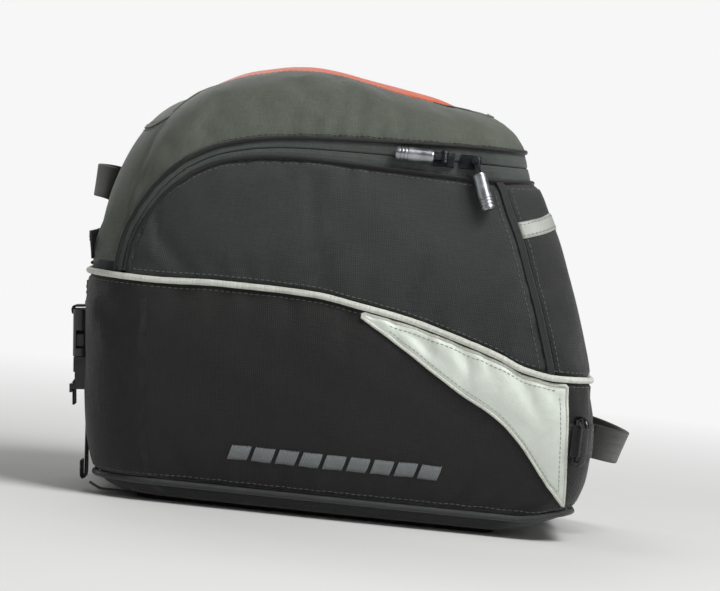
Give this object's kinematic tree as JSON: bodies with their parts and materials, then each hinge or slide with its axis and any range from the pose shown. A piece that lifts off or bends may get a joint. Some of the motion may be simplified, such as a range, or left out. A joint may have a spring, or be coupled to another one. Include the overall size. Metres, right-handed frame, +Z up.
{
  "type": "motorcycle tail bag",
  "caption": "Soft motorcycle tail bag with a clamshell lid on a zip, stiffened walls, rack sleeve, grab handles, tie-down straps with release buckles and reflective side panels.",
  "frame": {"origin": "centre of the resting face of the base pad, on the bag's middle plane", "axes": "+X towards the front of the motorcycle (the front face of the bag), +Y to the left, +Z up"},
  "size_m": [0.4161, 0.2964, 0.3204],
  "materials": {
    "rubber_pad": "textured rubber",
    "base_fabric": "coated fabric",
    "board": "smooth polyethylene board",
    "dark_piping": "corded piping",
    "black_piping": "corded piping",
    "reflective_piping": "reflective corded piping",
    "lower_fabric": "coarse nylon weave",
    "upper_fabric": "nylon weave",
    "lid_fabric": "nylon weave",
    "orange_fabric": "nylon weave",
    "reflective_fabric": "reflective coated fabric",
    "reflective_tape": "reflective tape",
    "thread": "embroidery thread",
    "lining": "lining cloth",
    "zip_tape": "woven tape",
    "zip_coil": "nylon coil",
    "slider_metal": "black painted die casting",
    "pewter": "satin pewter",
    "ring_metal": "plated wire",
    "buckle_plastic": "moulded acetal",
    "elastic": "elastic cord",
    "webbing": "ribbed webbing"
  },
  "bodies": {
    "shell": {"base_pad": "rubber_pad", "base_panel": "base_fabric", "base_board": "board", "bottom_piping": "dark_piping", "lower_shell": "lower_fabric", "swoosh_right": "reflective_fabric", "swoosh_left": "reflective_fabric", "side_motif": "thread", "waist_piping": "reflective_piping", "upper_panel_right": "upper_fabric", "upper_panel_left": "upper_fabric", "front_panel": "upper_fabric", "front_reflector": "reflective_tape", "rim_piping": "black_piping", "zip_tape_lower": "zip_tape", "zip_coil_lower": "zip_coil", "side_board_right": "board", "side_board_left": "board", "front_board": "board", "rear_board": "board", "rack_sleeve": "lining", "body_lining": "lining", "hinge_cord": "black_piping", "handle_tabs_front": "webbing", "ring_tabs": "webbing", "buckle_tabs": "webbing", "buckle_socket_right": "buckle_plastic", "buckle_socket_left": "buckle_plastic", "strap_cords": "elastic"},
    "lid": {"lid_shell": "lid_fabric", "lid_insert": "orange_fabric", "lid_piping": "black_piping", "zip_tape_upper": "zip_tape", "zip_coil_upper": "zip_coil", "lid_board": "board", "lid_lining": "lining", "hinge_flap": "lid_fabric", "handle_tabs_rear": "webbing"},
    "rear_grab_handle": {"rear_handle": "webbing"},
    "front_grab_handle": {"front_handle": "webbing"},
    "ring_right": {"d_ring_right": "ring_metal"},
    "ring_left": {"d_ring_left": "ring_metal"},
    "slider_a": {"zip_slider_a": "slider_metal"},
    "slider_b": {"zip_slider_b": "slider_metal"},
    "pull_a": {"pull_link_a": "pewter", "pull_grip_a": "pewter"},
    "pull_b": {"pull_link_b": "pewter", "pull_grip_b": "pewter"},
    "strap_right": {"buckle_plug_right": "buckle_plastic", "tie_strap_right": "webbing"},
    "strap_left": {"buckle_plug_left": "buckle_plastic", "tie_strap_left": "webbing"},
    "latch_right_outer": {"prong_right_outer": "buckle_plastic"},
    "latch_right_inner": {"prong_right_inner": "buckle_plastic"},
    "latch_left_outer": {"prong_left_outer": "buckle_plastic"},
    "latch_left_inner": {"prong_left_inner": "buckle_plastic"}
  },
  "joints": [
    {"name": "lid_hinge", "type": "hinge", "parent": "shell", "child": "lid", "pos_m": [-0.18446, 0, 0.165], "axis": [0, -1, 0], "range_deg": [0, 100]},
    {"name": "zip_a_travel", "type": "slide", "parent": "shell", "child": "slider_a", "axis": [-0.9998, -0.0195, 0], "range_m": [0, 0.07]},
    {"name": "zip_b_travel", "type": "slide", "parent": "shell", "child": "slider_b", "axis": [1, 0, 0], "range_m": [-0.003, 0.004]},
    {"name": "pull_a_flip", "type": "hinge", "parent": "slider_a", "child": "pull_a", "pos_m": [0.06, -0.12961, 0.26648], "axis": [0, 0.2317, 0.9728], "range_deg": [0, 140]},
    {"name": "pull_b_swing", "type": "hinge", "parent": "slider_b", "child": "pull_b", "pos_m": [0.0822, -0.12976, 0.26671], "axis": [0, -0.9728, 0.2317], "range_deg": [-45, 65]},
    {"name": "front_handle_drop", "type": "hinge", "parent": "shell", "child": "front_grab_handle", "pos_m": [0.18834, 0, 0.072], "axis": [0, 1, 0], "range_deg": [0, 50], "deforming": ["front_handle"]},
    {"name": "rear_handle_drop", "type": "hinge", "parent": "lid", "child": "rear_grab_handle", "pos_m": [-0.17694, 0, 0.22183], "axis": [0, -1, 0], "range_deg": [0, 50], "deforming": ["rear_handle"]},
    {"name": "ring_right_swing", "type": "hinge", "parent": "shell", "child": "ring_right", "pos_m": [0.174, -0.13702, 0.075], "axis": [0, 0, 1], "range_deg": [-50, 50]},
    {"name": "ring_left_swing", "type": "hinge", "parent": "shell", "child": "ring_left", "pos_m": [0.174, 0.13702, 0.075], "axis": [0, 0, -1], "range_deg": [-50, 50]},
    {"name": "buckle_right_release", "type": "slide", "parent": "shell", "child": "strap_right", "axis": [0.0899, 0, -0.996], "range_m": [0, 0.026], "deforming": ["prong_right_outer", "prong_right_inner", "strap_cords"]},
    {"name": "buckle_left_release", "type": "slide", "parent": "shell", "child": "strap_left", "axis": [0.0899, 0, -0.996], "range_m": [0, 0.026], "deforming": ["prong_left_outer", "prong_left_inner"]},
    {"name": "latch_right_squeeze", "type": "hinge", "parent": "strap_right", "child": "latch_right_outer", "pos_m": [-0.18693, -0.0844, 0.09329], "axis": [-0.996, 0, -0.0899], "range_deg": [0, 14]},
    {"name": "latch_right_follow", "type": "hinge", "parent": "strap_right", "child": "latch_right_inner", "pos_m": [-0.18693, -0.0636, 0.09329], "axis": [0.996, 0, 0.0899], "range_deg": [0, 14]},
    {"name": "latch_left_squeeze", "type": "hinge", "parent": "strap_left", "child": "latch_left_outer", "pos_m": [-0.18693, 0.0844, 0.09329], "axis": [0.996, 0, 0.0899], "range_deg": [0, 14]},
    {"name": "latch_left_follow", "type": "hinge", "parent": "strap_left", "child": "latch_left_inner", "pos_m": [-0.18693, 0.0636, 0.09329], "axis": [-0.996, 0, -0.0899], "range_deg": [0, 14]}
  ],
  "couplings": [
    {"joint": "latch_right_follow", "follows": "latch_right_squeeze", "ratio": 1},
    {"joint": "latch_left_follow", "follows": "latch_left_squeeze", "ratio": 1}
  ]
}
